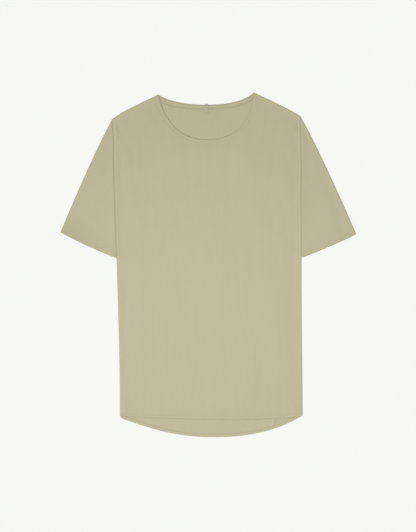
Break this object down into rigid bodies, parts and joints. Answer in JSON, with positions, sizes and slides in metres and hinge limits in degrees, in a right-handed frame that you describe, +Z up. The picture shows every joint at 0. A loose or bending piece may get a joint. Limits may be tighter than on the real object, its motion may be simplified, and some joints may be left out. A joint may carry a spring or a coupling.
{
  "type": "t-shirt",
  "caption": "Short-sleeved T-shirt with a wide scoop neck, a folded neck band and a long curved tail, laid flat with its front up.",
  "frame": {"origin": "middle of the box round the laid shirt, on the surface that it lies on", "axes": "+Y towards the neck, +Z up from the surface through the back and then the front, +X towards the wearer's left sleeve"},
  "size_m": [0.6954, 0.8102, 0.0054],
  "materials": {
    "jersey": "olive-beige cotton jersey, matt",
    "band_jersey": "the same jersey, folded double, a little darker",
    "loop_tape": "narrow cotton tape, matt"
  },
  "bodies": {
    "root": {"front": "jersey", "back": "jersey", "sleeve_right": "jersey", "sleeve_left": "jersey", "neck_band": "band_jersey", "hanging_loop": "loop_tape"}
  },
  "joints": []
}
